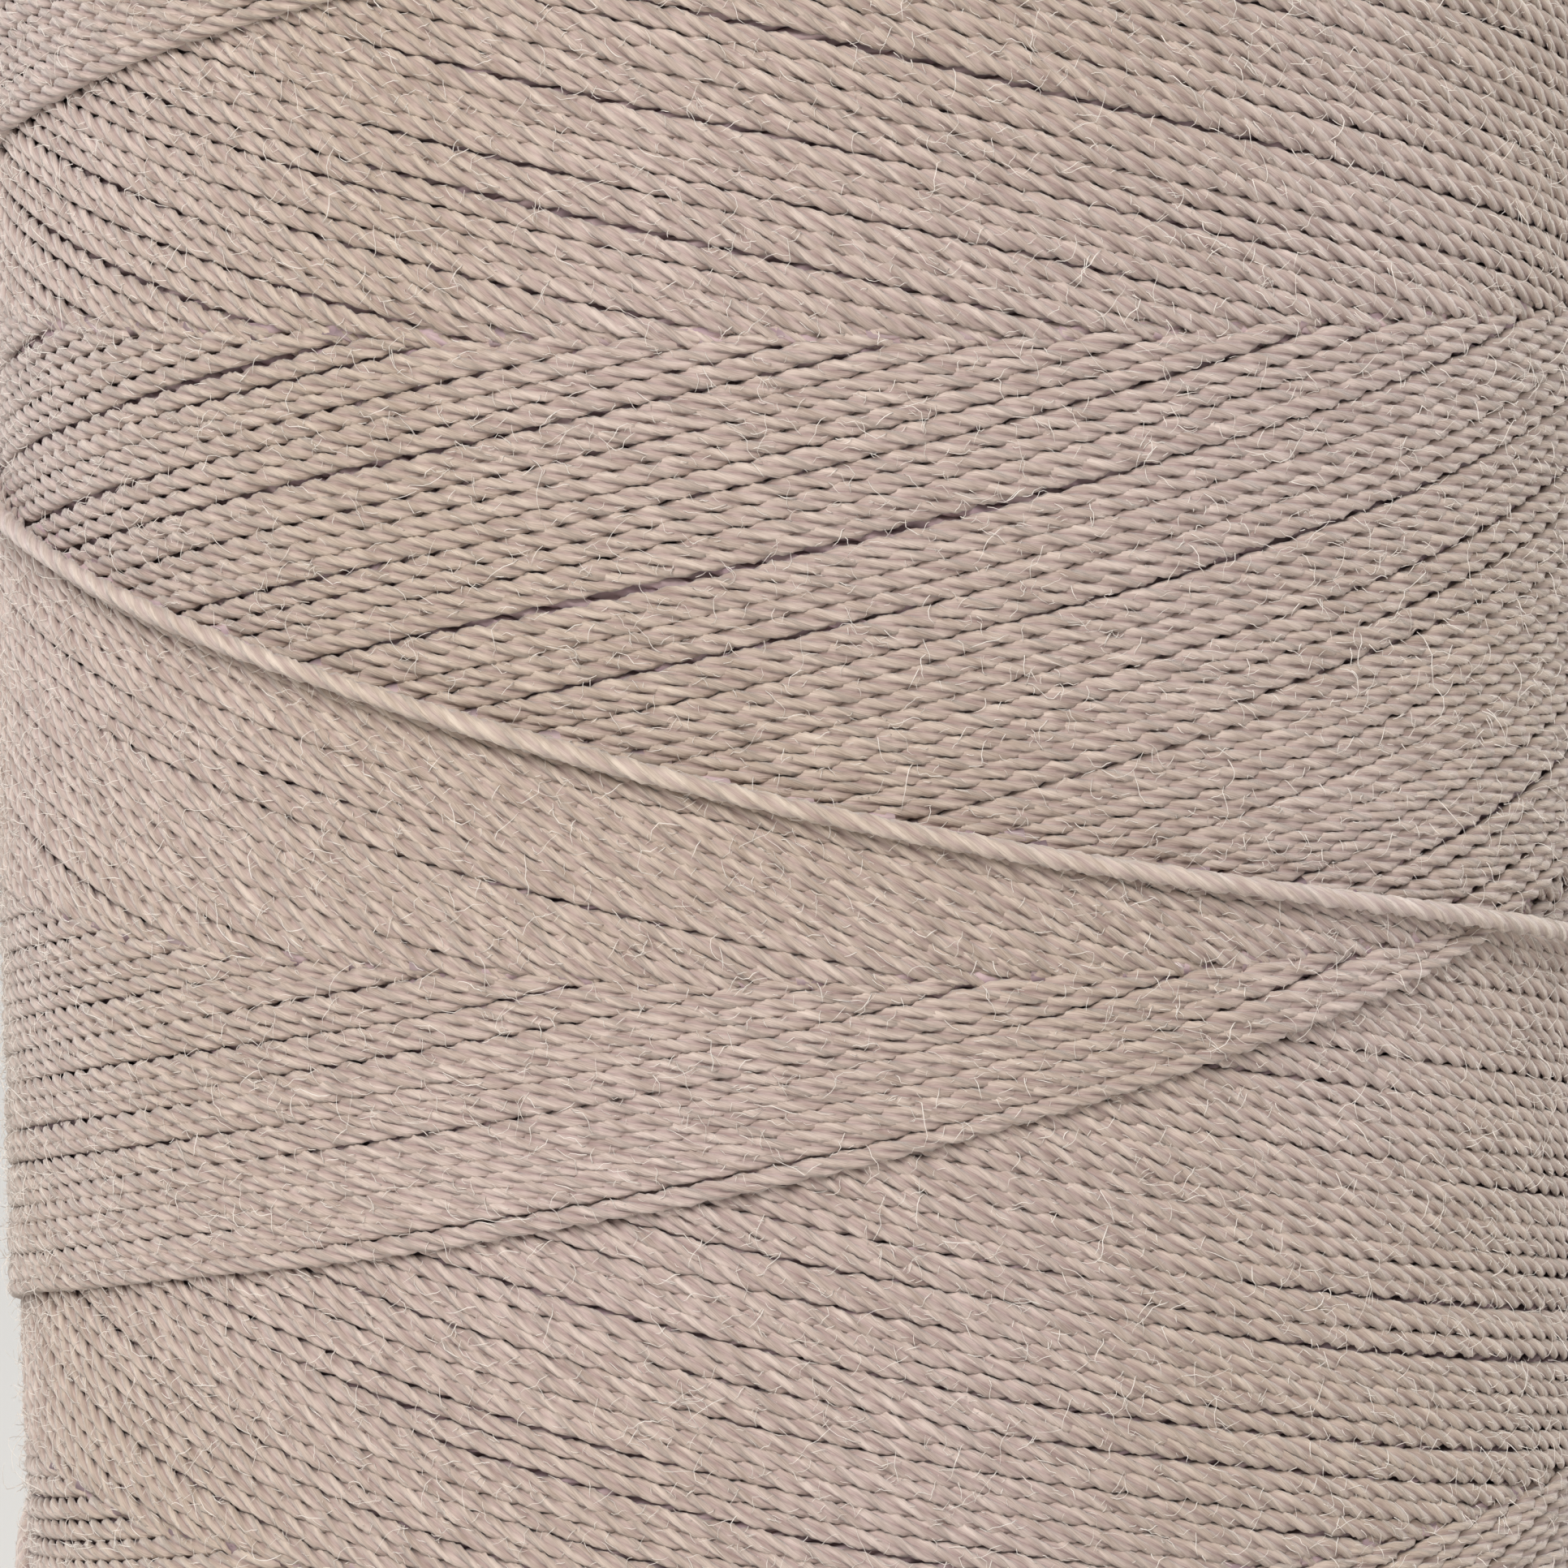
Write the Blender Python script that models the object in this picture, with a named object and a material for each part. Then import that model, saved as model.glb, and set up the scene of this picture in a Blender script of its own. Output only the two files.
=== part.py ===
"""Small cross-wound spool of stitching thread, standing on its lower flange.

The spool is a core tube with a flange pressed into each end. The upper flange carries a snap cap
that slides up a little and grips the running end of the thread between the two rims.
Metres, +Z up along the spool's axis, origin at the middle of the foot.
"""
from math import cos, pi, radians, sin, tan

import bmesh
import bpy
from mathutils import Vector

MM = 0.001

# Driving dimensions
THREAD_D = 0.35 * MM
WINDING_D = 33.0 * MM
WIND_ANGLE = radians(12.5)
TURNS_PER_STROKE = 2
FLANGE_D = 36.0 * MM
BORE_D = 8.0 * MM
LOCK_TRAVEL = 1.5 * MM
FIT_GAP = 0.3 * MM

# Walls and plates
TUBE_WALL = 1.2 * MM
HUB_WALL = 0.8 * MM
STEM_WALL = 1.0 * MM
LOWER_PLATE = 1.8 * MM
UPPER_PLATE = 1.4 * MM
CAP_PLATE = 1.4 * MM
LABEL_RECESS_LOW = 0.9 * MM
LABEL_RECESS_TOP = 0.6 * MM
LABEL_T = 0.2 * MM
RIM_LAND = 2.4 * MM
BORE_LAND = 1.6 * MM
LOWER_HUB_LENGTH = 9.7 * MM
UPPER_HUB_LENGTH = 6.0 * MM
NIP_WIDTH = 2.1 * MM
NIP_DROP = 0.6 * MM
EDGE_ROUND = 0.4 * MM
SHOULDER_ROUND = 0.7 * MM
BEAD_HEIGHT = 1.2 * MM
BEAD_REACH = 0.7 * MM
FINGER_SLOT = 0.8 * MM
FINGER_LENGTH = 7.0 * MM
NOTCH_WIDTH = 1.8 * MM
NOTCH_DEPTH = 1.9 * MM
FLUTES = 24
FLUTE_DEPTH = 0.25 * MM

# Facets
SEGMENTS = 96
NARROW_SEGMENTS = 48
FLUTE_STEPS = 8
ARC_STEPS = 3

# Radii, from the bore outwards
BORE_R = BORE_D / 2
STEM_R = BORE_R + STEM_WALL
UPPER_HUB_BORE_R = STEM_R + FIT_GAP
HUB_R = UPPER_HUB_BORE_R + HUB_WALL
TUBE_BORE_R = HUB_R + FIT_GAP
TUBE_R = TUBE_BORE_R + TUBE_WALL
CROWN_HEIGHT = 0.3 * THREAD_D
WINDING_R = WINDING_D / 2 - CROWN_HEIGHT
FLANGE_R = FLANGE_D / 2
NIP_R = FLANGE_R - NIP_WIDTH
RECESS_R = FLANGE_R - RIM_LAND
LAND_R = BORE_R + BORE_LAND

# Heights, from the foot upwards
RISE_PER_TURN = pi * WINDING_D * tan(WIND_ANGLE)
LOWER_FACE = LABEL_RECESS_LOW + LOWER_PLATE
TUBE_BOTTOM = LOWER_FACE + FIT_GAP
TUBE_TOP = TUBE_BOTTOM + TURNS_PER_STROKE * RISE_PER_TURN
UPPER_FACE = TUBE_TOP + FIT_GAP
UPPER_TOP = UPPER_FACE + UPPER_PLATE
CAP_BOTTOM = UPPER_TOP + FIT_GAP
CAP_FLOOR = CAP_BOTTOM + CAP_PLATE
CAP_TOP = CAP_FLOOR + LABEL_RECESS_TOP
HUB_END = UPPER_FACE - UPPER_HUB_LENGTH
BEAD_TOP = HUB_END - FIT_GAP - LOCK_TRAVEL
STEM_END = BEAD_TOP - BEAD_HEIGHT

# The running end is the last stroke: it starts right of the front and climbs clockwise to the notch
RUN_R = WINDING_R + FIT_GAP + THREAD_D / 2
RUN_CROSSING_ANGLE = radians(-37.4)
RUN_CROSSING_HEIGHT = TUBE_BOTTOM + RISE_PER_TURN
RUN_START_ANGLE = radians(0)
RUN_SIDES_RESOLUTION = 2
CLIMB_POINTS = 64
CATCH_STEPS = 3
NOTCH_PASS_R = FLANGE_R - NOTCH_DEPTH / 2
NOTCH_APPROACH = 4.5 * MM
NOTCH_TURN = 0.8 * MM
TUCK_LENGTH = 6.0 * MM


def clear_scene():
    """Removes every object that a new file starts with."""
    for old in list(bpy.data.objects):
        bpy.data.objects.remove(old, do_unlink=True)


def make_material(name, colour, roughness):
    """A non-metallic Principled material in one colour."""
    material = bpy.data.materials.new(name)
    material.use_nodes = True
    shader = material.node_tree.nodes["Principled BSDF"]
    shader.inputs["Base Color"].default_value = (*colour, 1.0)
    shader.inputs["Roughness"].default_value = roughness
    shader.inputs["Metallic"].default_value = 0.0
    return material


def rounded(radius, height, size, start):
    """Points of a quarter round, anticlockwise from the start angle in degrees, about its centre."""
    points = []
    for step in range(ARC_STEPS + 1):
        angle = radians(start + 90 * step / ARC_STEPS)
        points.append((radius + size * cos(angle), height + size * sin(angle)))
    return points


def rim(low, high):
    """The rounded outer edge of a flange from one height up to another."""
    centre_r = FLANGE_R - EDGE_ROUND
    lower = rounded(centre_r, low + EDGE_ROUND, EDGE_ROUND, -90)
    upper = rounded(centre_r, high - EDGE_ROUND, EDGE_ROUND, 0)
    return lower + upper


def turned(name, outline, material, segments=SEGMENTS, flute_from=None):
    """A solid turned about Z from a closed anticlockwise outline of (radius, height) points.

    Points at the flange's full radius and at or above flute_from have finger flutes cut into them.
    """
    if flute_from is not None:
        segments = FLUTES * FLUTE_STEPS
    shape = bmesh.new()
    rings = []
    for step in range(segments):
        angle = 2 * pi * step / segments
        flute = FLUTE_DEPTH * (1 - cos(angle * FLUTES)) / 2
        ring = []
        for radius, height in outline:
            fluted = flute_from is not None and radius > FLANGE_R - EDGE_ROUND and height >= flute_from
            at = radius - flute if fluted else radius
            ring.append(shape.verts.new((at * cos(angle), at * sin(angle), height)))
        rings.append(ring)
    for this, following in zip(rings, rings[1:] + rings[:1]):
        for i in range(len(outline)):
            j = (i + 1) % len(outline)
            shape.faces.new((this[i], following[i], following[j], this[j]))
    mesh = bpy.data.meshes.new(name)
    shape.to_mesh(mesh)
    shape.free()
    mesh.shade_smooth()
    mesh.set_sharp_from_angle(angle=radians(35))
    mesh.materials.append(material)
    part = bpy.data.objects.new(name, mesh)
    bpy.context.collection.objects.link(part)
    return part


def cutter(name, size, centre, turn=0.0):
    """A box that is only used to cut other parts."""
    shape = bmesh.new()
    bmesh.ops.create_cube(shape, size=1.0)
    bmesh.ops.scale(shape, vec=Vector(size), verts=shape.verts)
    mesh = bpy.data.meshes.new(name)
    shape.to_mesh(mesh)
    shape.free()
    box = bpy.data.objects.new(name, mesh)
    box.location = centre
    box.rotation_euler = (0, 0, turn)
    box.hide_render = True
    box.display_type = "WIRE"
    bpy.context.collection.objects.link(box)
    return box


def cut(part, tool):
    """Takes a cutter's shape out of a part."""
    boolean = part.modifiers.new("cut_" + tool.name, "BOOLEAN")
    boolean.operation = "DIFFERENCE"
    boolean.solver = "EXACT"
    boolean.object = tool


def run_angle_at(height):
    """The angle round the axis at which the running end's stroke reaches a height."""
    return RUN_CROSSING_ANGLE - 2 * pi * (height - RUN_CROSSING_HEIGHT) / RISE_PER_TURN


def run_height_at(angle):
    """The height of the running end's stroke at an angle round the axis."""
    return RUN_CROSSING_HEIGHT - RISE_PER_TURN * (angle - RUN_CROSSING_ANGLE) / (2 * pi)


def smooth_path(knots, steps):
    """Points of a Catmull-Rom curve through the knots, from the second one to the last but one."""
    points = []
    for before, start, end, after in zip(knots, knots[1:], knots[2:], knots[3:]):
        for step in range(steps):
            t = step / steps
            pull = (end - before) * t + (2 * before - 5 * start + 4 * end - after) * t**2
            points.append(start + (pull + (3 * start - before - 3 * end + after) * t**3) / 2)
    points.append(knots[-2])
    return points


def on_cylinder(radius, angle, height):
    """The point at a radius and an angle round the axis."""
    return Vector((radius * cos(angle), radius * sin(angle), height))


def running_route():
    """The running end: round the winding, up through the notch, then along the nip under the cap."""
    notch_angle = run_angle_at(UPPER_FACE)
    last_angle = notch_angle + NOTCH_APPROACH / RUN_R
    climb = []
    for step in range(CLIMB_POINTS):
        angle = RUN_START_ANGLE + (last_angle - RUN_START_ANGLE) * step / CLIMB_POINTS
        climb.append(on_cylinder(RUN_R, angle, run_height_at(angle)))
    under = UPPER_FACE - FIT_GAP - THREAD_D
    nip_height = (UPPER_TOP + CAP_BOTTOM) / 2
    catch = [
        (RUN_R, NOTCH_APPROACH, run_height_at(last_angle)),
        (RUN_R, NOTCH_APPROACH / 2, run_height_at(last_angle - NOTCH_APPROACH / 2 / RUN_R) - THREAD_D),
        (RUN_R, NOTCH_TURN, under),
        (NOTCH_PASS_R, 0.0, (UPPER_FACE + UPPER_TOP) / 2),
        (NOTCH_PASS_R, -NOTCH_TURN, nip_height),
        (NOTCH_PASS_R, -TUCK_LENGTH / 2, nip_height),
        (NOTCH_PASS_R, -TUCK_LENGTH, nip_height),
    ]
    knots = [on_cylinder(radius, notch_angle + along / radius, height) for radius, along, height in catch]
    beyond = 2 * knots[-1] - knots[-2]
    return climb[:-1] + smooth_path([climb[-1], *knots, beyond], CATCH_STEPS)


def make_core_tube(plastic):
    """The straight tube that the thread is wound on."""
    outline = [
        (TUBE_BORE_R, TUBE_BOTTOM),
        (TUBE_R, TUBE_BOTTOM),
        (TUBE_R, TUBE_TOP),
        (TUBE_BORE_R, TUBE_TOP),
    ]
    return turned("core_tube", outline, plastic, segments=NARROW_SEGMENTS)


def make_bottom_flange(plastic):
    """The foot: a disc with a raised rim and a hub that is pressed into the tube."""
    hub_top = LOWER_FACE + LOWER_HUB_LENGTH
    outline = [
        (BORE_R, FIT_GAP),
        (LAND_R, FIT_GAP),
        (LAND_R, LABEL_RECESS_LOW),
        (RECESS_R, LABEL_RECESS_LOW),
        (RECESS_R, 0.0),
        *rim(0.0, LOWER_FACE),
        (HUB_R, LOWER_FACE),
        (HUB_R, hub_top - EDGE_ROUND),
        (HUB_R - EDGE_ROUND, hub_top),
        (BORE_R, hub_top),
    ]
    return turned("bottom_flange", outline, plastic)


def make_top_flange(plastic):
    """The upper disc: its rim slopes away from the cap, and its hub guides the cap's stem."""
    outline = [
        (UPPER_HUB_BORE_R, HUB_END),
        (HUB_R - EDGE_ROUND / 2, HUB_END),
        (HUB_R, HUB_END + EDGE_ROUND),
        (HUB_R, UPPER_FACE),
        *rounded(FLANGE_R - EDGE_ROUND, UPPER_FACE + EDGE_ROUND, EDGE_ROUND, -90),
        (FLANGE_R, UPPER_TOP - NIP_DROP),
        (NIP_R, UPPER_TOP),
        (UPPER_HUB_BORE_R, UPPER_TOP),
    ]
    flange = turned("top_flange", outline, plastic)
    notch_angle = run_angle_at(UPPER_FACE)
    middle_r = FLANGE_R - NOTCH_DEPTH / 2 + EDGE_ROUND
    notch = cutter(
        "notch_cutter",
        (NOTCH_DEPTH + 2 * EDGE_ROUND, NOTCH_WIDTH, 3 * UPPER_PLATE),
        (middle_r * cos(notch_angle), middle_r * sin(notch_angle), UPPER_FACE + UPPER_PLATE / 2),
        notch_angle,
    )
    cut(flange, notch)
    return flange


def make_lock_cap(plastic):
    """The cap that grips the thread: a fluted disc on a slotted stem that snaps under the hub."""
    outline = [
        (BORE_R, STEM_END),
        (STEM_R + BEAD_REACH / 3, STEM_END),
        (STEM_R + BEAD_REACH, BEAD_TOP - BEAD_HEIGHT / 2),
        (STEM_R + BEAD_REACH, BEAD_TOP),
        (STEM_R, BEAD_TOP),
        (STEM_R, CAP_BOTTOM),
        (NIP_R, CAP_BOTTOM),
        (FLANGE_R, CAP_BOTTOM + NIP_DROP),
        *rounded(FLANGE_R - EDGE_ROUND, CAP_TOP - EDGE_ROUND, EDGE_ROUND, 0),
        (RECESS_R, CAP_TOP),
        (RECESS_R, CAP_FLOOR),
        (LAND_R, CAP_FLOOR),
        (LAND_R, CAP_TOP - LABEL_T),
        (BORE_R, CAP_TOP - LABEL_T),
    ]
    cap = turned("thread_lock_cap", outline, plastic, flute_from=CAP_BOTTOM)
    slot_height = STEM_END + FINGER_LENGTH / 2 - FIT_GAP
    for name, turn in (("finger_slot_x", radians(45)), ("finger_slot_y", radians(135))):
        cut(cap, cutter(name, (4 * STEM_R, FINGER_SLOT, FINGER_LENGTH), (0, 0, slot_height), turn))
    return cap


def make_label(name, paper, bottom):
    """A plain paper ring that lies in a flange's recess."""
    inner = LAND_R + FIT_GAP
    outer = RECESS_R - FIT_GAP
    outline = [(inner, bottom), (outer, bottom), (outer, bottom + LABEL_T), (inner, bottom + LABEL_T)]
    return turned(name, outline, paper, segments=NARROW_SEGMENTS)


def make_winding(thread):
    """The wound thread, from the tube out to the crowns of its last layer."""
    shoulder_r = WINDING_R - SHOULDER_ROUND
    outline = [
        (TUBE_R + FIT_GAP, TUBE_BOTTOM),
        *rounded(shoulder_r, TUBE_BOTTOM + SHOULDER_ROUND, SHOULDER_ROUND, -90),
        *rounded(shoulder_r, TUBE_TOP - SHOULDER_ROUND, SHOULDER_ROUND, 0),
        (TUBE_R + FIT_GAP, TUBE_TOP),
    ]
    return turned("thread_winding", outline, thread)


def make_running_end(thread):
    """The last turn of thread, which lies on the winding and is gripped under the cap."""
    curve = bpy.data.curves.new("running_end", "CURVE")
    curve.dimensions = "3D"
    curve.bevel_depth = THREAD_D / 2
    curve.bevel_resolution = RUN_SIDES_RESOLUTION
    curve.use_fill_caps = True
    spline = curve.splines.new("POLY")
    route = running_route()
    spline.points.add(len(route) - 1)
    for point, place in zip(spline.points, route):
        point.co = (*place, 1.0)
    curve.materials.append(thread)
    strand = bpy.data.objects.new("running_end", curve)
    bpy.context.collection.objects.link(strand)
    return strand


def main():
    """Makes every piece of the spool in its place."""
    clear_scene()
    plastic = make_material("spool_plastic", (0.78, 0.76, 0.70), 0.45)
    cap_plastic = make_material("cap_plastic", (0.78, 0.76, 0.70), 0.40)
    paper = make_material("label_paper", (0.62, 0.50, 0.36), 0.85)
    thread = make_material("thread", (0.45, 0.37, 0.31), 0.90)
    make_core_tube(plastic)
    make_bottom_flange(plastic)
    make_top_flange(plastic)
    make_lock_cap(cap_plastic)
    make_label("bottom_label", paper, LABEL_RECESS_LOW - FIT_GAP - LABEL_T)
    make_label("top_label", paper, CAP_FLOOR + FIT_GAP)
    make_winding(thread)
    make_running_end(thread)


main()
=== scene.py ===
"""The looks of the cross-wound thread spool: every strand of its outer layer as plied thread."""

from math import atan2, cos, pi, radians, sin, sqrt

import bpy
import numpy as np
from mathutils import Euler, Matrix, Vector


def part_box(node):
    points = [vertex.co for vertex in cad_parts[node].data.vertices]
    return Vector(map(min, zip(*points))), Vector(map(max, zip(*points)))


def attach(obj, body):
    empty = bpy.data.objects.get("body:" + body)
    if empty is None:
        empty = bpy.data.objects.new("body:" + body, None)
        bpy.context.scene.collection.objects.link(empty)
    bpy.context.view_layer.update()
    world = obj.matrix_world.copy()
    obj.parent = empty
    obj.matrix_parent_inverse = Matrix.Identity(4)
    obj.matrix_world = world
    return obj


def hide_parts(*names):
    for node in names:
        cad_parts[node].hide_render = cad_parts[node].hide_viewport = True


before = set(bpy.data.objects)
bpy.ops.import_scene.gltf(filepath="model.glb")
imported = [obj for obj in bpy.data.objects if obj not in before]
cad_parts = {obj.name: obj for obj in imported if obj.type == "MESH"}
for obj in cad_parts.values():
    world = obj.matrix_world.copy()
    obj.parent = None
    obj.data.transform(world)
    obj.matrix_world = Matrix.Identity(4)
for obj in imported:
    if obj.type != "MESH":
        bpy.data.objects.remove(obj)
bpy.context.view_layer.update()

MM = 0.001
TURN = 2 * pi

# The thread and how it is wound
THREAD_D = 0.35 * MM
PLIES = 3
TWIST_LENGTH = 1.9 * MM
FULLNESS = 1.15
SLUBS = (0.05, 3 * MM)
SURFACE_FLUFF = 0.05
PRESSED = (0.86, 1.10)
LOOSE = (1.0, 1.0)
LAYER_STEP = 0.22 * MM
CROWN_HEIGHT = 0.3 * THREAD_D
TURNS_PER_STROKE = 2
STROKES = 64
SPREAD_OF_OLD = 0.35
RING_STEP = 0.18 * MM
CROSSING_ANGLE = radians(-37.4)
UNDER_MARGIN = 1.2 * MM
DIVE_LENGTH = 0.8 * MM
DIVE_STEPS = 9
TURN_ROUND = 0.45 * MM
SHOULDER_DROP = 0.35 * MM
SHOULDER_LENGTH = 0.5 * MM
GROUPS = 10

# A ply's outline across one share of the thread's section: share of the lobe, share of the radius
LOOSE_PLY = ((0.0, 1.0), (0.20, 0.90), (0.38, 0.64), (0.5, 0.38), (0.62, 0.64), (0.80, 0.90))
TIGHT_PLY = ((0.0, 1.0), (0.25, 0.94), (0.5, 0.72), (0.75, 0.94))

# Smooth random curves: knots that shape one point, and how far the last point stays inside
CURVE_KNOTS = 4
JUST_INSIDE = 0.001

# How unevenly a strand lies along and off the winding: size and wave length
SLOW_WANDER = (0.034 * MM, 9 * MM)
QUICK_WANDER = (0.018 * MM, 2.5 * MM)
HEAVE = (0.016 * MM, 4 * MM)

# Random seeds of the rising family and of the running end
FAMILY_SEED = 1000
RUN_SEED = 7

# The covered stretches, made from every third point, and the drum below them
COVERED_SIDES = 6
COVERED_STEP = 3
COVERED_SHORTEST = 4
BODY_DEPTH = 0.9 * THREAD_D
BODY_SHOULDER = 4 * THREAD_D
BODY_SEGMENTS = 128
FIT_GAP = 0.3 * MM

# The running end: how deep it starts, where it lifts off and sags, and the notch that it passes
RUN_ROOT_DEPTH = 6 * THREAD_D
RUN_START_ANGLE = radians(0)
RUN_LIFT = 0.30 * MM
RUN_SAG = 0.22 * MM
RUN_SAG_ANGLE = radians(-82)
RUN_SAG_SPREAD = radians(28)
RUN_LIFT_LENGTH = radians(35)
NOTCH_APPROACH = 4.5 * MM
NOTCH_TURN = 0.8 * MM
NOTCH_DEPTH = 1.9 * MM
TUCK_LENGTH = 6.0 * MM
CATCH_STEPS = 12
CATCH_LEAD = 8

# Loose fibres: how many, points in each, and the shortest and longest
LONG_HAIRS = (10000, 8, (0.35 * MM, 1.5 * MM))
SHORT_HAIRS = (38000, 4, (0.15 * MM, 0.5 * MM))
HAIR_SIDES = 3
FUZZ_PARTS = 4
HAIR_KINK = 1.5
HAIR_D = 0.022 * MM
HAIR_TAPER = 0.6
HAIR_THICKNESS = (0.6, 1.1)
HAIR_ROOT_DEPTH = (0.02, 0.25)
HAIR_SPREAD = 0.8
HAIR_LIFT = (0.2, 1.1)
HAIR_DROOP = (0.8, 2.6)
SHORTNESS = 2.5

# The camera, its distance in winding radii and its height over the newest crossing, and the floor
LENS = 132.3
SENSOR = 36
CAMERA_DISTANCE = 7.15
CAMERA_RISE = 17.0 * MM
CAMERA_PITCH = radians(7.53)
CAMERA_YAW = radians(0.20)
CAMERA_ROLL = radians(-0.55)
NEAR_CLIP = 0.01
FLOOR_SIDE = 3.0

# The winding's place, from the CAD model
winding_low, winding_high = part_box("thread_winding")
tube_low, tube_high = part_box("core_tube")
BOTTOM = tube_low[2]
TOP = tube_high[2]
TUBE_R = tube_high[0]
WINDING_R = winding_high[0] + CROWN_HEIGHT
CROWN_R = WINDING_R + LAYER_STEP
RISE = (TOP - BOTTOM) / TURNS_PER_STROKE
CROSSING_HEIGHT = BOTTOM + RISE
TOP_STRAND_R = CROWN_R - THREAD_D / 2
WIND_ANGLE = atan2(RISE, TURN * CROWN_R)

SPOOL = "spool"

# Lights: place, size and power, and the surround's strength
KEY = ((-0.13, -0.50, 0.40), 0.30, 3.55)
LEFT_RIM = ((-0.50, 0.26, 0.10), 0.5, 1.5)
RIGHT_RIM = ((0.50, 0.24, 0.10), 0.5, 2.4)
KEY_COLOUR = (1.0, 0.985, 0.96)
RIM_COLOUR = (1, 1, 1)
SURROUND = 0.28


# ------------------------------------------------------------------ thread meshes

def smooth_noise(rng, count, length, wave):
    """A smooth random curve of about unit size at count even places along a length."""
    knots = int(length / wave) + CURVE_KNOTS + 1
    values = rng.normal(size=knots)
    place = np.linspace(0, knots - CURVE_KNOTS - JUST_INSIDE, count)
    left = place.astype(int)
    t = place - left
    weights = ((1 - t) ** 3, 3 * t**3 - 6 * t**2 + 4, 1 + 3 * t + 3 * t**2 - 3 * t**3, t**3)
    return sum(weight * values[left + k] for k, weight in enumerate(weights)) / 4


def unevenness(rng, count, length, size_and_wave):
    """A smooth random curve of a size, with a wave length."""
    size, wave = size_and_wave
    return size * smooth_noise(rng, count, length, wave)


def plied_section(ply_outline):
    """The section of a plied thread: angles, and radii as shares of its full radius."""
    lobe = TURN / PLIES
    angles = []
    radii = []
    for ply in range(PLIES):
        for share, radius in ply_outline:
            angles.append((ply + share) * lobe)
            radii.append(radius)
    return np.array(angles), np.array(radii)


PLIED_SECTION = plied_section(LOOSE_PLY)
TIGHT_SECTION = plied_section(TIGHT_PLY)
ROUND_SECTION = (np.arange(COVERED_SIDES) * TURN / COVERED_SIDES, np.ones(COVERED_SIDES))


class TubeBatch:
    """Collects thread tubes of one section, and makes one mesh object of them."""

    def __init__(self, section=PLIED_SECTION):
        self.angles, self.radii = section
        deepest = 1 - self.radii.min()
        self.groove = (1 - self.radii) / (deepest if deepest else 1)
        self.points = []
        self.grooves = []
        self.fibres = []
        self.quads = []
        self.caps = []
        self.count = 0

    def add(self, rng, path, radius, phase, number, pressed=PRESSED):
        """One closed tube along a path of points, flattened towards the axis by a share."""
        tall, wide = pressed
        sides = len(self.angles)
        rings = len(path)
        tangent = np.gradient(path, axis=0)
        step = np.linalg.norm(np.diff(path, axis=0), axis=1)
        along = np.concatenate([[0], np.cumsum(step)])
        tangent /= np.linalg.norm(tangent, axis=1, keepdims=True)
        outward = path * np.array([1, 1, 0])
        outward -= tangent * np.sum(outward * tangent, axis=1, keepdims=True)
        outward /= np.linalg.norm(outward, axis=1, keepdims=True)
        across = np.cross(tangent, outward)
        turn = self.angles[None, :] + (phase + TURN * along / TWIST_LENGTH)[:, None]
        size = self.radii[None, :] * radius[:, None]
        size = size * (1 + SURFACE_FLUFF * rng.normal(size=size.shape))
        ring = path[:, None, :] + (tall * size * np.cos(turn))[..., None] * outward[:, None, :]
        ring = ring + (wide * size * np.sin(turn))[..., None] * across[:, None, :]
        self.points.append(ring.reshape(-1, 3))
        self.grooves.append(np.tile(self.groove, rings))
        fibre = np.empty((rings, sides, 3))
        fibre[..., 0] = along[:, None] / MM
        fibre[..., 1] = self.angles[None, :]
        fibre[..., 2] = number
        self.fibres.append(fibre.reshape(-1, 3))
        corner = np.arange(rings * sides).reshape(rings, sides) + self.count
        side = np.roll(corner, -1, axis=1)
        quads = np.stack([corner[:-1], side[:-1], side[1:], corner[1:]], axis=-1)
        self.quads.append(quads.reshape(-1, 4))
        self.caps.append(corner[0][::-1])
        self.caps.append(corner[-1])
        self.count += rings * sides

    def make(self, name, material):
        """The object of all tubes collected so far."""
        return mesh_object(
            name,
            np.concatenate(self.points),
            np.concatenate(self.quads),
            self.caps,
            material,
            {"groove": np.concatenate(self.grooves), "fibre": np.concatenate(self.fibres)},
        )


def mesh_object(name, points, quads, more_faces, material, attributes):
    """A smooth-shaded mesh object from arrays of points and faces."""
    mesh = bpy.data.meshes.new(name)
    loops = [quads.reshape(-1)] + [np.asarray(face) for face in more_faces]
    sizes = np.concatenate([np.full(len(quads), 4), [len(face) for face in more_faces]]).astype(np.int32)
    starts = np.concatenate([[0], np.cumsum(sizes)[:-1]]).astype(np.int32)
    corners = np.concatenate(loops).astype(np.int32)
    mesh.vertices.add(len(points))
    mesh.vertices.foreach_set("co", points.astype(np.float32).ravel())
    mesh.loops.add(len(corners))
    mesh.loops.foreach_set("vertex_index", corners)
    mesh.polygons.add(len(sizes))
    mesh.polygons.foreach_set("loop_start", starts)
    mesh.update(calc_edges=True)
    mesh.shade_smooth()
    for key, values in attributes.items():
        kind = "FLOAT_VECTOR" if values.ndim == 2 else "FLOAT"
        layer = mesh.attributes.new(key, kind, "POINT")
        layer.data.foreach_set("vector" if values.ndim == 2 else "value", values.astype(np.float32).ravel())
    mesh.materials.append(material)
    piece = bpy.data.objects.new(name, mesh)
    bpy.context.collection.objects.link(piece)
    return piece


# ------------------------------------------------------------------ the winding's geometry

def wrap(value, size):
    """The remainder in 0 to size."""
    return value - size * np.floor(value / size)


def turns_back(age):
    """How far round the axis, in turns, a stroke of an age lies from the newest one."""
    share = age / STROKES
    return share + SPREAD_OF_OLD * (share**2 - share) / 2


def age_at(turns):
    """The age of the newest stroke that lies some turns back. It undoes turns_back."""
    near = 1 - SPREAD_OF_OLD / 2
    return STROKES * (np.sqrt(near**2 + 2 * SPREAD_OF_OLD * wrap(turns, 1)) - near) / SPREAD_OF_OLD


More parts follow.
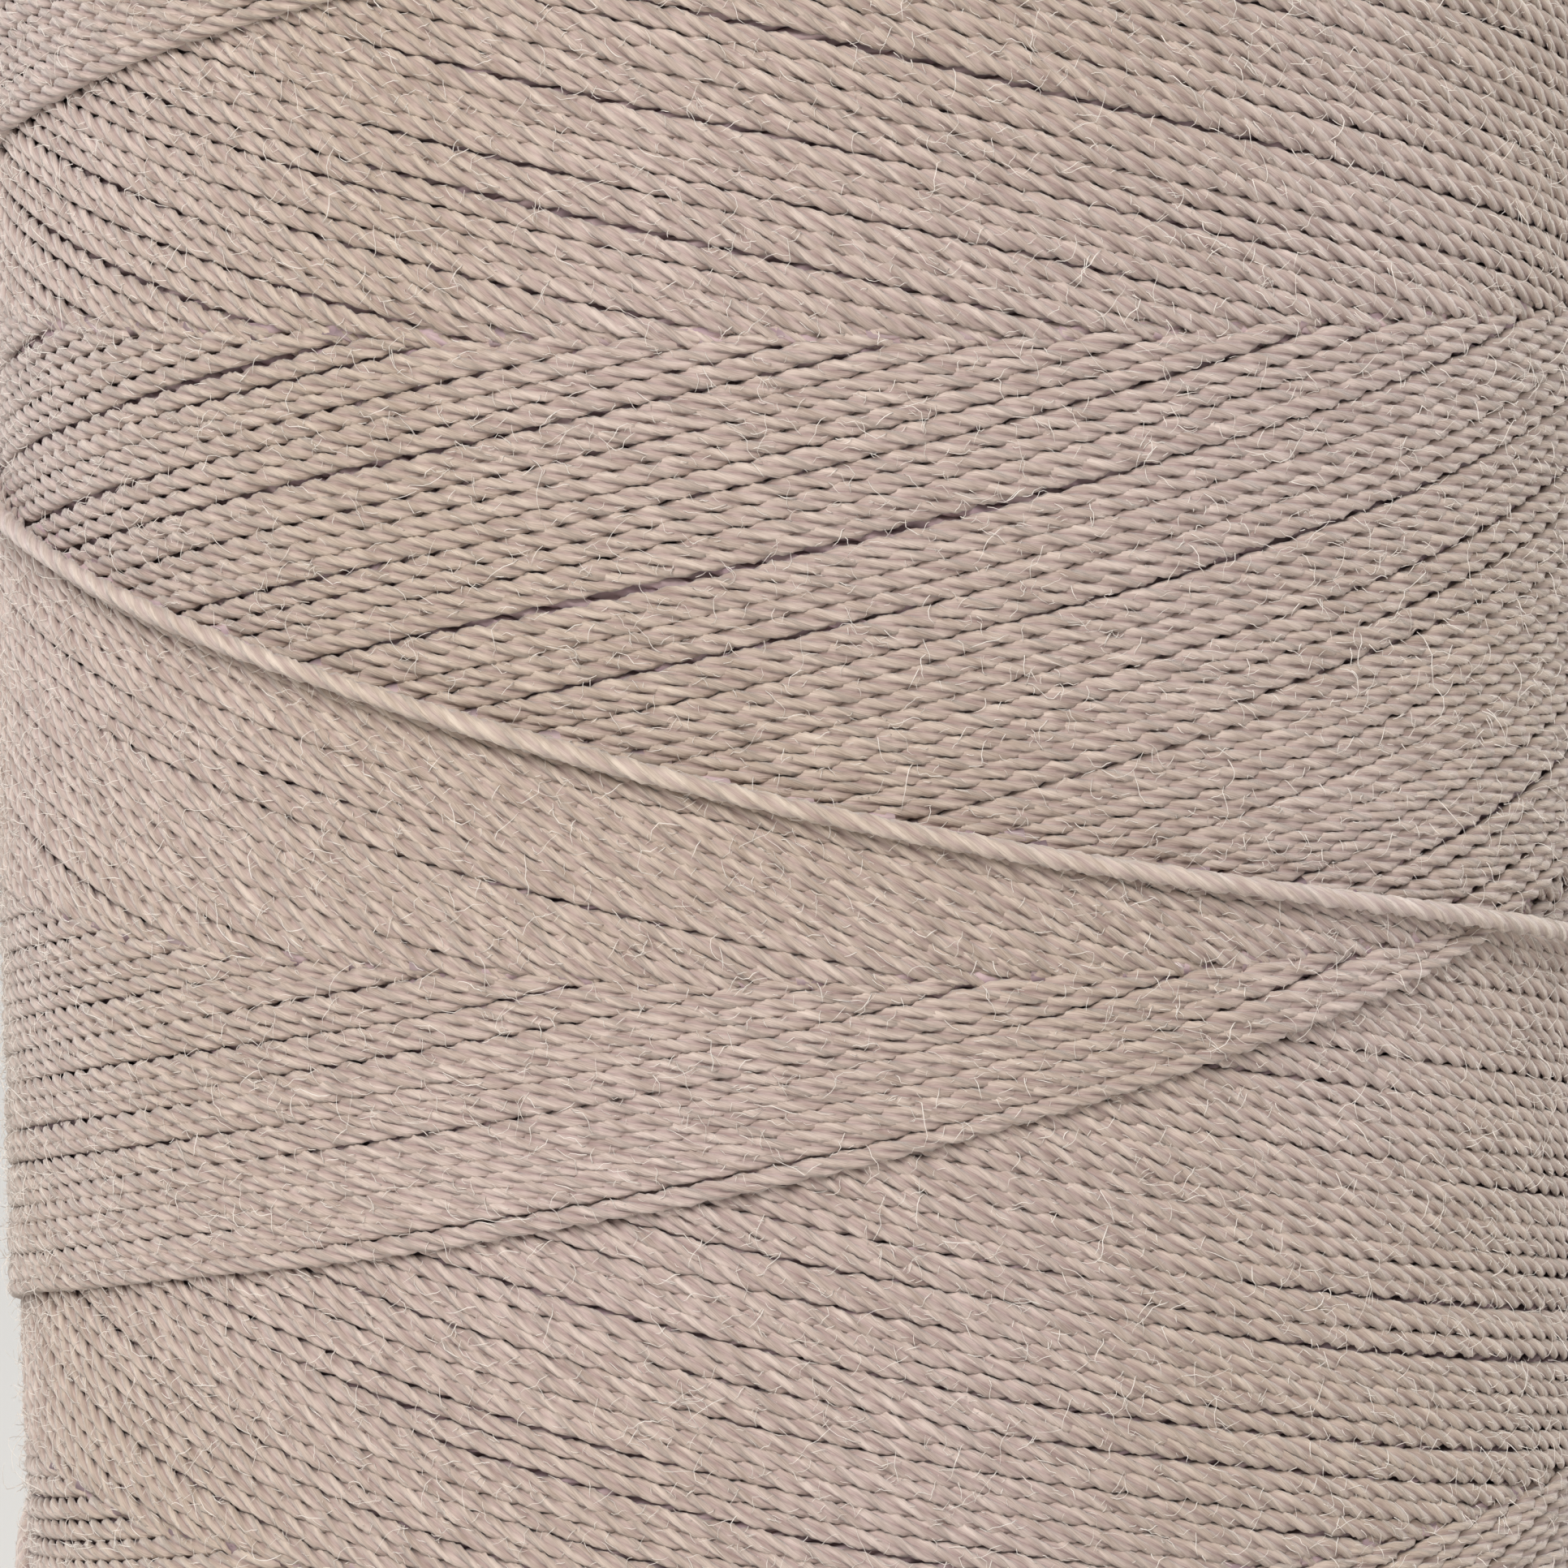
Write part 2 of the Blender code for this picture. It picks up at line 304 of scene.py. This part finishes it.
def stroke_angle(height, age, rising):
    """The angle at which a stroke of an age passes a height. Age 0 is the last stroke laid."""
    sweep = TURN * (height - CROSSING_HEIGHT) / RISE
    return CROSSING_ANGLE + (sweep if rising else -sweep) - TURN * turns_back(age)


def crossing_age(height, age, rising):
    """The age, from 0 to the full count, of the other family's newest stroke at that place."""
    shift = 2 * (height - CROSSING_HEIGHT) / RISE
    return age_at(turns_back(age) + (-shift if rising else shift))


def on_top(height, age, rising):
    """Whether a stroke lies over the other family at a height."""
    return crossing_age(height, age, rising) > age


def layer_depth(height, age, rising):
    """How far below the newest strand a stroke lies, eased where it dives under the other family."""
    reach = DIVE_LENGTH * sin(WIND_ANGLE)
    total = np.zeros_like(height)
    for offset in np.linspace(-reach, reach, DIVE_STEPS):
        other = crossing_age(height + offset, age, rising)
        under = np.where(other > age, other, other + STROKES)
        total += LAYER_STEP * (age + under) / STROKES
    return total / DIVE_STEPS


def stroke_path(rng, age, rising):
    """A whole stroke from end to end: its points, and where it is in sight."""
    length = (TOP - BOTTOM) / sin(WIND_ANGLE)
    count = int(length / RING_STEP)
    height = np.linspace(BOTTOM, TOP, count)
    angle = stroke_angle(height, age, rising)
    depth = layer_depth(height, age, rising)
    seen = on_top(height, age, rising)
    wander = unevenness(rng, count, length, SLOW_WANDER)
    wander += unevenness(rng, count, length, QUICK_WANDER)
    radial = TOP_STRAND_R - depth + unevenness(rng, count, length, HEAVE)
    middle = (TOP + BOTTOM) / 2
    half = (TOP - BOTTOM) / 2 - THREAD_D / 2
    from_end = half - np.abs(height - middle)
    turned_in = half - (np.sqrt(from_end**2 + TURN_ROUND**2))
    place = middle + np.sign(height - middle) * turned_in + wander * cos(WIND_ANGLE)
    shoulder = np.exp(-np.maximum(from_end, 0) / SHOULDER_LENGTH)
    radial = radial - SHOULDER_DROP * shoulder
    path = np.stack([radial * np.cos(angle), radial * np.sin(angle), place], axis=1)
    return path, seen


def sight_runs(seen, margin):
    """Start and end of each stretch in sight, each made longer by a margin of steps."""
    wide = np.convolve(seen.astype(float), np.ones(2 * margin + 1), mode="same") > 0
    edges = np.flatnonzero(np.diff(np.concatenate([[0], wide.astype(int), [0]])))
    return list(zip(edges[::2], edges[1::2]))


def strand_radius(rng, count, length):
    """The thread's radius along it, with the thick and thin places of spun thread."""
    return THREAD_D / 2 * (FULLNESS + unevenness(rng, count, length, SLUBS))


def make_strokes(rising, material):
    """One family of strokes, as a few objects of about the same length of thread."""
    pieces = []
    family = "rising" if rising else "falling"
    margin = int(UNDER_MARGIN / RING_STEP)
    ages = range(0 if rising else 1, STROKES)
    share = [sqrt(k / GROUPS) for k in range(GROUPS + 1)]
    limits = [round(STROKES * (1 - s)) for s in reversed(share)]
    for group, (first, last) in enumerate(zip(limits, limits[1:]), start=1):
        batch = TubeBatch()
        for age in ages:
            if not first <= age < last:
                continue
            rng = np.random.default_rng(FAMILY_SEED * int(rising) + age)
            path, seen = stroke_path(rng, age, rising)
            radius = strand_radius(rng, len(path), len(path) * RING_STEP)
            phase = rng.uniform(0, TURN)
            number = age + STROKES * int(rising)
            shape = LOOSE if age == 0 else PRESSED
            for start, end in sight_runs(seen, margin):
                batch.add(rng, path[start:end], radius[start:end], phase, number, shape)
        piece = batch.make(f"winding_{family}_{group}", material)
        pieces.append(piece)
    return pieces


def make_covered(rising, material):
    """The stretches of one family that lie under the other, as plain round thread."""
    batch = TubeBatch(ROUND_SECTION)
    for age in range(0 if rising else 1, STROKES):
        rng = np.random.default_rng(FAMILY_SEED * int(rising) + age)
        path, seen = stroke_path(rng, age, rising)
        for start, end in sight_runs(~seen, 1):
            stretch = path[start:end:COVERED_STEP]
            if len(stretch) >= COVERED_SHORTEST:
                batch.add(rng, stretch, np.full(len(stretch), THREAD_D / 2), 0.0, age)
    return batch.make("covered_rising" if rising else "covered_falling", material)


def make_body(material):
    """The wound thread inside: a drum that closes the gaps between the outer strands."""
    outer = CROWN_R - 2 * LAYER_STEP - BODY_DEPTH
    inner = TUBE_R + FIT_GAP
    shoulder = BODY_SHOULDER
    low = BOTTOM + THREAD_D / 2
    high = TOP - THREAD_D / 2
    outline = [
        (inner, low),
        (outer - shoulder, low),
        (outer - shoulder / 3, low + shoulder / 3),
        (outer, low + shoulder),
        (outer, high - shoulder),
        (outer - shoulder / 3, high - shoulder / 3),
        (outer - shoulder, high),
        (inner, high),
    ]
    angle = np.arange(BODY_SEGMENTS) * TURN / BODY_SEGMENTS
    radius = np.array([r for r, z in outline])
    height = np.array([z for r, z in outline])
    across = np.outer(np.cos(angle), radius)
    along = np.outer(np.sin(angle), radius)
    ring = np.stack([across, along, np.tile(height, (BODY_SEGMENTS, 1))], axis=-1)
    corner = np.arange(BODY_SEGMENTS * len(outline)).reshape(BODY_SEGMENTS, len(outline))
    after = np.roll(corner, -1, axis=0)
    quads = np.stack([corner, after, np.roll(after, -1, axis=1), np.roll(corner, -1, axis=1)], axis=-1)
    return mesh_object("winding_body", ring.reshape(-1, 3), quads.reshape(-1, 4), [], material, {})


def smooth_step(share):
    """Eases from 0 to 1."""
    share = np.clip(share, 0, 1)
    return share * share * (3 - 2 * share)


def smooth_path(knots, steps):
    """Points of a Catmull-Rom curve through the knots, from the second one to the last but one."""
    points = []
    for before, start, end, after in zip(knots, knots[1:], knots[2:], knots[3:]):
        for t in np.arange(steps) / steps:
            pull = (end - before) * t + (2 * before - 5 * start + 4 * end - after) * t**2
            points.append(start + (pull + (3 * start - before - 3 * end + after) * t**3) / 2)
    points.append(knots[-2])
    return np.array(points)


def on_cylinder(radius, angle, height):
    """The point at a radius and an angle round the axis."""
    return np.array([radius * cos(angle), radius * sin(angle), height])


def running_path():
    """The last stroke: laid on the winding at first, then slack and lifted, then up into the nip."""
    flange_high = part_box("top_flange")[1]
    upper_face = tube_high[2] + FIT_GAP
    upper_top = flange_high[2]
    pass_r = flange_high[0] - NOTCH_DEPTH / 2
    lifted_r = TOP_STRAND_R + RUN_LIFT
    end_angle = CROSSING_ANGLE - TURN * (upper_face - CROSSING_HEIGHT) / RISE
    first_angle = CROSSING_ANGLE - TURN * (BOTTOM + THREAD_D - CROSSING_HEIGHT) / RISE
    last_angle = end_angle + NOTCH_APPROACH / lifted_r
    count = int((first_angle - last_angle) * CROWN_R / cos(WIND_ANGLE) / RING_STEP)
    angle = np.linspace(first_angle, last_angle, count)
    height = CROSSING_HEIGHT - RISE * (angle - CROSSING_ANGLE) / TURN
    depth = layer_depth(height, 0, False)
    slack = smooth_step((RUN_START_ANGLE - angle) / RUN_LIFT_LENGTH)
    sag = RUN_SAG * np.exp(-(((angle - RUN_SAG_ANGLE) / RUN_SAG_SPREAD) ** 2))
    radial = TOP_STRAND_R - depth * (1 - slack) + RUN_LIFT * slack
    radial -= RUN_ROOT_DEPTH * np.exp(-(height - BOTTOM) / THREAD_D)
    laid = np.stack([radial * np.cos(angle), radial * np.sin(angle), height - sag], axis=1)
    under = upper_face - FIT_GAP - THREAD_D
    nip = upper_top + FIT_GAP / 2
    catch = [
        (lifted_r, NOTCH_APPROACH / 2, height[-1] + NOTCH_APPROACH / 2 / CROWN_R * RISE / TURN - THREAD_D),
        (lifted_r, NOTCH_TURN, under),
        (pass_r, 0.0, (upper_face + upper_top) / 2),
        (pass_r, -NOTCH_TURN, nip),
        (pass_r, -TUCK_LENGTH / 2, nip),
        (pass_r, -TUCK_LENGTH, nip),
    ]
    knots = [on_cylinder(radius, end_angle + along / radius, height) for radius, along, height in catch]
    beyond = 2 * knots[-1] - knots[-2]
    tail = smooth_path([laid[-CATCH_LEAD], laid[-1], *knots, beyond], CATCH_STEPS)
    return np.concatenate([laid[:-1], tail])


def make_running_end(material):
    """The last stroke and its end as one thread."""
    rng = np.random.default_rng(RUN_SEED)
    path = running_path()
    batch = TubeBatch(TIGHT_SECTION)
    radius = strand_radius(rng, len(path), len(path) * RING_STEP)
    batch.add(rng, path, radius, 0.0, 2 * STROKES, LOOSE)
    return batch.make("running_thread", material)


def surface_radius(angle, height):
    """The radius of the strands' crowns at a place on the winding."""
    sweep = TURN * (height - CROSSING_HEIGHT) / RISE
    rising_age = age_at((CROSSING_ANGLE + sweep - angle) / TURN)
    falling_age = age_at((CROSSING_ANGLE - sweep - angle) / TURN)
    return CROWN_R - LAYER_STEP * (rising_age + falling_age) / STROKES


def make_fuzz(name, seed, count, points, lengths, material):
    """Loose fibres that stand off the thread in short bends, each of a few points."""
    rng = np.random.default_rng(seed)
    angle = rng.uniform(0, TURN, count)
    height = rng.uniform(BOTTOM + THREAD_D, TOP - THREAD_D, count)
    radius = surface_radius(angle, height) - rng.uniform(*HAIR_ROOT_DEPTH, count) * THREAD_D
    outward = np.stack([np.cos(angle), np.sin(angle), np.zeros(count)], axis=1)
    around = np.stack([-np.sin(angle), np.cos(angle), np.zeros(count)], axis=1)
    upward = np.array([[0.0, 0.0, 1.0]])
    place = outward * radius[:, None]
    place[:, 2] = height
    heading = rng.normal(0, HAIR_SPREAD, count) + rng.choice([0, pi], count)
    lift = rng.uniform(*HAIR_LIFT, count)
    droop = rng.uniform(*HAIR_DROOP, count) / MM
    length = lengths[0] + (lengths[1] - lengths[0]) * rng.uniform(0, 1, count) ** SHORTNESS
    step = length / (points - 1)
    middle = np.empty((count, points, 3))
    sides = np.empty((count, points, 2, 3))
    for k in range(points):
        middle[:, k] = place
        flat = np.cos(heading)[:, None] * around + np.sin(heading)[:, None] * upward
        forward = flat * np.cos(lift)[:, None] + outward * np.sin(lift)[:, None]
        sides[:, k, 0] = np.cross(flat, outward)
        sides[:, k, 1] = outward * np.cos(lift)[:, None] - flat * np.sin(lift)[:, None]
        place = place + forward * step[:, None]
        heading = heading + rng.normal(0, HAIR_KINK, count) * np.sqrt(step / MM)
        lift = lift - droop * step
    taper = 1 - HAIR_TAPER * np.linspace(0, 1, points)
    thick = HAIR_D / 2 * taper * rng.uniform(*HAIR_THICKNESS, (count, 1))
    turn = np.arange(HAIR_SIDES) * TURN / HAIR_SIDES
    ring = np.cos(turn)[:, None] * sides[:, :, None, 0] + np.sin(turn)[:, None] * sides[:, :, None, 1]
    ring = middle[:, :, None, :] + thick[:, :, None, None] * ring
    corner = np.arange(count * points * HAIR_SIDES).reshape(count, points, HAIR_SIDES)
    side = np.roll(corner, -1, axis=2)
    quads = np.stack([corner[:, :-1], side[:, :-1], side[:, 1:], corner[:, 1:]], axis=-1).reshape(-1, 4)
    caps = list(corner[:, 0, ::-1]) + list(corner[:, -1])
    return mesh_object(name, ring.reshape(-1, 3), quads, caps, material, {})


# ------------------------------------------------------------------ materials

def node(tree, kind, **settings):
    """A new shader node with its settings."""
    made = tree.nodes.new(kind)
    for key, value in settings.items():
        setattr(made, key, value)
    return made


def new_material(name):
    """An empty node material with a Principled shader, and its tree and shader."""
    material = bpy.data.materials.new(name)
    material.use_nodes = True
    tree = material.node_tree
    return material, tree, tree.nodes["Principled BSDF"]


def fibre_noise(tree, fibre, scale, detail):
    """Noise in the thread's own coordinates: along it, round it, and from strand to strand."""
    stretch = node(tree, "ShaderNodeVectorMath", operation="MULTIPLY")
    stretch.inputs[1].default_value = scale
    tree.links.new(fibre.outputs["Vector"], stretch.inputs[0])
    noise = node(tree, "ShaderNodeTexNoise")
    noise.inputs["Scale"].default_value = 1.0
    noise.inputs["Detail"].default_value = detail
    noise.inputs["Roughness"].default_value = 0.6
    tree.links.new(stretch.outputs[0], noise.inputs["Vector"])
    return noise


def thread_material(name, dark_fibres, pale_fibres):
    """Matte spun thread: pale and dark fibres along each ply, and painted purplish shade in the grooves
    between the plies.
    """
    material, tree, shader = new_material(name)
    fibre = node(tree, "ShaderNodeAttribute", attribute_name="fibre")
    groove = node(tree, "ShaderNodeAttribute", attribute_name="groove")
    place = node(tree, "ShaderNodeTexCoord")
    streaks = fibre_noise(tree, fibre, (2.4, 9.0, 3.7), 5.0)
    grains = fibre_noise(tree, fibre, (1.7, 1.1, 5.1), 1.0)
    blend = node(tree, "ShaderNodeMix", data_type="FLOAT")
    blend.inputs[0].default_value = 0.45
    tree.links.new(streaks.outputs["Fac"], blend.inputs[2])
    tree.links.new(grains.outputs["Fac"], blend.inputs[3])
    shade = node(tree, "ShaderNodeValToRGB")
    shade.color_ramp.elements[0].position = 0.36
    shade.color_ramp.elements[0].color = (*dark_fibres, 1)
    shade.color_ramp.elements[1].position = 0.64
    shade.color_ramp.elements[1].color = (*pale_fibres, 1)
    tree.links.new(blend.outputs[0], shade.inputs["Fac"])

    tone = node(tree, "ShaderNodeTexNoise")
    tone.inputs["Scale"].default_value = 90.0
    tone.inputs["Detail"].default_value = 1.0
    tree.links.new(place.outputs["Object"], tone.inputs["Vector"])
    cast = node(tree, "ShaderNodeValToRGB")
    cast.color_ramp.elements[0].position = 0.35
    cast.color_ramp.elements[0].color = (0.92, 0.90, 0.84, 1)
    cast.color_ramp.elements[1].position = 0.65
    cast.color_ramp.elements[1].color = (1.0, 0.985, 1.0, 1)
    tree.links.new(tone.outputs["Fac"], cast.inputs["Fac"])
    tinted = node(tree, "ShaderNodeMix", data_type="RGBA", blend_type="MULTIPLY")
    tinted.inputs[0].default_value = 1.0
    tree.links.new(shade.outputs["Color"], tinted.inputs[6])
    tree.links.new(cast.outputs["Color"], tinted.inputs[7])

    # Painted shade: the colour is mixed towards a dark purplish brown by how deep a point lies in a groove
    # between the plies, standing in for the shade that falls there.
    weight = node(tree, "ShaderNodeMath", operation="MULTIPLY")
    weight.inputs[1].default_value = 0.42
    tree.links.new(groove.outputs["Fac"], weight.inputs[0])
    dark = node(tree, "ShaderNodeMix", data_type="RGBA", blend_type="MIX")
    tree.links.new(weight.outputs[0], dark.inputs[0])
    tree.links.new(tinted.outputs[2], dark.inputs[6])
    dark.inputs[7].default_value = (0.32, 0.19, 0.225, 1)
    tree.links.new(dark.outputs[2], shader.inputs["Base Color"])

    bump = node(tree, "ShaderNodeBump")
    bump.inputs["Strength"].default_value = 0.7
    bump.inputs["Distance"].default_value = 0.03 * MM
    tree.links.new(streaks.outputs["Fac"], bump.inputs["Height"])
    tree.links.new(bump.outputs["Normal"], shader.inputs["Normal"])
    shader.inputs["Roughness"].default_value = 0.7
    shader.inputs["Sheen Weight"].default_value = 0.5
    shader.inputs["Sheen Roughness"].default_value = 0.4
    shader.inputs["Specular IOR Level"].default_value = 0.3
    return material


def covered_material():
    """The thread below the surface, seen only in the gaps, coloured in painted purplish shade."""
    material, tree, shader = new_material("covered_thread_painted_shade")
    place = node(tree, "ShaderNodeTexCoord")
    lay = node(tree, "ShaderNodeTexWave", wave_type="BANDS", bands_direction="Z")
    lay.inputs["Scale"].default_value = 0.31 / THREAD_D
    lay.inputs["Distortion"].default_value = 3.0
    tree.links.new(place.outputs["Object"], lay.inputs["Vector"])
    shade = node(tree, "ShaderNodeValToRGB")
    # Painted shade: purplish brown tones stand in for the shade in the gaps between the outer strands.
    shade.color_ramp.elements[0].color = (0.42, 0.30, 0.33, 1)
    shade.color_ramp.elements[1].color = (0.62, 0.47, 0.48, 1)
    tree.links.new(lay.outputs["Fac"], shade.inputs["Fac"])
    tree.links.new(shade.outputs["Color"], shader.inputs["Base Color"])
    shader.inputs["Roughness"].default_value = 0.9
    return material


def fibre_material():
    """Single fibres: painted paler than the thread, standing in for the light that thin fibres catch and
    let through, and a little glossy.
    """
    material, tree, shader = new_material("loose_fibre")
    place = node(tree, "ShaderNodeTexCoord")
    tint = node(tree, "ShaderNodeTexNoise")
    tint.inputs["Scale"].default_value = 900
    tree.links.new(place.outputs["Object"], tint.inputs["Vector"])
    # Painted light: pale colours for the light caught and let through by the thin fibres.
    shade = node(tree, "ShaderNodeValToRGB")
    shade.color_ramp.elements[0].color = (0.80, 0.72, 0.65, 1)
    shade.color_ramp.elements[1].color = (0.97, 0.93, 0.88, 1)
    tree.links.new(tint.outputs["Fac"], shade.inputs["Fac"])
    tree.links.new(shade.outputs["Color"], shader.inputs["Base Color"])
    shader.inputs["Roughness"].default_value = 0.45
    return material


def moulded_plastic(name, colour, roughness):
    """Off-white moulded plastic: faint mottle, fine spark-eroded grain and uneven gloss."""
    material, tree, shader = new_material(name)
    place = node(tree, "ShaderNodeTexCoord")
    mottle = node(tree, "ShaderNodeTexNoise")
    mottle.inputs["Scale"].default_value = 120
    mottle.inputs["Detail"].default_value = 3
    tree.links.new(place.outputs["Object"], mottle.inputs["Vector"])
    shade = node(tree, "ShaderNodeValToRGB")
    shade.color_ramp.elements[0].position = 0.3
    shade.color_ramp.elements[0].color = (*[c * 0.90 for c in colour], 1)
    shade.color_ramp.elements[1].position = 0.7
    shade.color_ramp.elements[1].color = (*colour, 1)
    tree.links.new(mottle.outputs["Fac"], shade.inputs["Fac"])
    tree.links.new(shade.outputs["Color"], shader.inputs["Base Color"])
    gloss = node(tree, "ShaderNodeMapRange")
    gloss.inputs["To Min"].default_value = roughness - 0.08
    gloss.inputs["To Max"].default_value = roughness + 0.10
    tree.links.new(mottle.outputs["Fac"], gloss.inputs["Value"])
    tree.links.new(gloss.outputs["Result"], shader.inputs["Roughness"])
    grain = node(tree, "ShaderNodeTexNoise")
    grain.inputs["Scale"].default_value = 5000
    tree.links.new(place.outputs["Object"], grain.inputs["Vector"])
    bump = node(tree, "ShaderNodeBump")
    bump.inputs["Strength"].default_value = 0.25
    bump.inputs["Distance"].default_value = 0.02 * MM
    tree.links.new(grain.outputs["Fac"], bump.inputs["Height"])
    tree.links.new(bump.outputs["Normal"], shader.inputs["Normal"])
    return material


def kraft_paper():
    """Uncoated kraft paper: cloudy, with dark and pale fibre specks."""
    material, tree, shader = new_material("kraft_paper")
    place = node(tree, "ShaderNodeTexCoord")
    cloud = node(tree, "ShaderNodeTexNoise")
    cloud.inputs["Scale"].default_value = 1100
    cloud.inputs["Detail"].default_value = 5
    tree.links.new(place.outputs["Object"], cloud.inputs["Vector"])
    shade = node(tree, "ShaderNodeValToRGB")
    shade.color_ramp.elements[0].position = 0.3
    shade.color_ramp.elements[0].color = (0.50, 0.385, 0.26, 1)
    shade.color_ramp.elements[1].position = 0.7
    shade.color_ramp.elements[1].color = (0.62, 0.49, 0.345, 1)
    tree.links.new(cloud.outputs["Fac"], shade.inputs["Fac"])
    long_way = node(tree, "ShaderNodeVectorMath", operation="MULTIPLY")
    long_way.inputs[1].default_value = (3200, 700, 700)
    tree.links.new(place.outputs["Object"], long_way.inputs[0])
    specks = node(tree, "ShaderNodeTexNoise")
    specks.inputs["Scale"].default_value = 1.0
    specks.inputs["Distortion"].default_value = 2.0
    tree.links.new(long_way.outputs[0], specks.inputs["Vector"])
    few = node(tree, "ShaderNodeMapRange")
    few.inputs["From Min"].default_value = 0.66
    few.inputs["From Max"].default_value = 0.74
    tree.links.new(specks.outputs["Fac"], few.inputs["Value"])
    mix = node(tree, "ShaderNodeMix", data_type="RGBA", blend_type="MIX")
    tree.links.new(few.outputs["Result"], mix.inputs[0])
    tree.links.new(shade.outputs["Color"], mix.inputs[6])
    mix.inputs[7].default_value = (0.28, 0.19, 0.11, 1)
    tree.links.new(mix.outputs[2], shader.inputs["Base Color"])
    bump = node(tree, "ShaderNodeBump")
    bump.inputs["Strength"].default_value = 0.4
    bump.inputs["Distance"].default_value = 0.03 * MM
    tree.links.new(cloud.outputs["Fac"], bump.inputs["Height"])
    tree.links.new(bump.outputs["Normal"], shader.inputs["Normal"])
    shader.inputs["Roughness"].default_value = 0.9
    return material


# ------------------------------------------------------------------ stage, light and camera

def make_floor():
    """A plain pale floor."""
    mesh = bpy.data.meshes.new("floor")
    corners = [(x * FLOOR_SIDE, y * FLOOR_SIDE, 0) for x, y in ((-1, -1), (1, -1), (1, 1), (-1, 1))]
    mesh.from_pydata(corners, [], [(0, 1, 2, 3)])
    floor = bpy.data.objects.new("floor", mesh)
    material, tree, shader = new_material("floor")
    shader.inputs["Base Color"].default_value = (0.82, 0.81, 0.79, 1)
    shader.inputs["Roughness"].default_value = 0.9
    mesh.materials.append(material)
    bpy.context.collection.objects.link(floor)


def area_light(name, place, size, power, colour):
    """A square soft light at a place, facing the middle of the winding."""
    target = Vector((0, 0, (TOP + BOTTOM) / 2))
    data = bpy.data.lights.new(name, "AREA")
    data.size = size
    data.energy = power
    data.color = colour
    lamp = bpy.data.objects.new(name, data)
    lamp.location = place
    lamp.rotation_euler = (target - Vector(place)).to_track_quat("-Z", "Y").to_euler()
    bpy.context.collection.objects.link(lamp)


def make_lights():
    """Soft studio light: a key nearly in front, upper left, a rim light each side, a pale surround."""
    area_light("key", *KEY, KEY_COLOUR)
    area_light("left_rim", *LEFT_RIM, RIM_COLOUR)
    area_light("right_rim", *RIGHT_RIM, RIM_COLOUR)
    world = bpy.data.worlds.new("studio")
    world.use_nodes = True
    world.node_tree.nodes["Background"].inputs["Color"].default_value = (1.0, 0.99, 0.98, 1)
    world.node_tree.nodes["Background"].inputs["Strength"].default_value = SURROUND
    bpy.context.scene.world = world


def make_camera():
    """A long lens, close in front, looking slightly down at the middle of the winding."""
    data = bpy.data.cameras.new("camera")
    data.sensor_width = SENSOR
    data.lens = LENS
    data.clip_start = NEAR_CLIP
    camera = bpy.data.objects.new("camera", data)
    camera.location = (0, -CAMERA_DISTANCE * WINDING_R, CROSSING_HEIGHT + CAMERA_RISE)
    camera.rotation_euler = Euler((radians(90) - CAMERA_PITCH, 0, CAMERA_YAW), "XYZ")
    camera.rotation_euler.rotate_axis("Z", CAMERA_ROLL)
    bpy.context.collection.objects.link(camera)
    bpy.context.scene.camera = camera


# ------------------------------------------------------------------ put together

make_camera()
make_lights()
make_floor()
bpy.context.scene.view_settings.view_transform = "Standard"

thread = thread_material("plied_thread", (0.40, 0.31, 0.26), (0.76, 0.645, 0.575))
# A paler copy of the thread's colours for the lifted running end: painted light, standing in for the extra
# light this proud strand catches.
slack_thread_painted_paler = thread_material("slack_thread_painted_paler", (0.50, 0.395, 0.335), (0.86, 0.745, 0.67))
plastic = moulded_plastic("spool_plastic", (0.74, 0.71, 0.64), 0.42)
cap_plastic = moulded_plastic("cap_plastic", (0.76, 0.73, 0.66), 0.36)
paper = kraft_paper()
looks = {
    "core_tube": plastic,
    "bottom_flange": plastic,
    "top_flange": plastic,
    "thread_lock_cap": cap_plastic,
    "top_label": paper,
    "bottom_label": paper,
}
for name, look in looks.items():
    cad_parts[name].material_slots[0].material = look

for rising in (True, False):
    for piece in make_strokes(rising, thread):
        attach(piece, SPOOL)
        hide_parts("thread_winding")

# The covered stretches and the drum below them take this painted purplish shade.
covered = covered_material()
body = make_body(covered)
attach(body, SPOOL)
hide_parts("thread_winding")

for rising in (True, False):
    piece = make_covered(rising, covered)
    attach(piece, SPOOL)

running = make_running_end(slack_thread_painted_paler)
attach(running, SPOOL)
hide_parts("running_end")

fibre = fibre_material()
for kind, (count, points, lengths) in (("long", LONG_HAIRS), ("short", SHORT_HAIRS)):
    for part in range(FUZZ_PARTS):
        name = f"{kind}_fibres_{part + 1}"
        fuzz = make_fuzz(name, points * FUZZ_PARTS + part, count // FUZZ_PARTS, points, lengths, fibre)
        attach(fuzz, SPOOL)
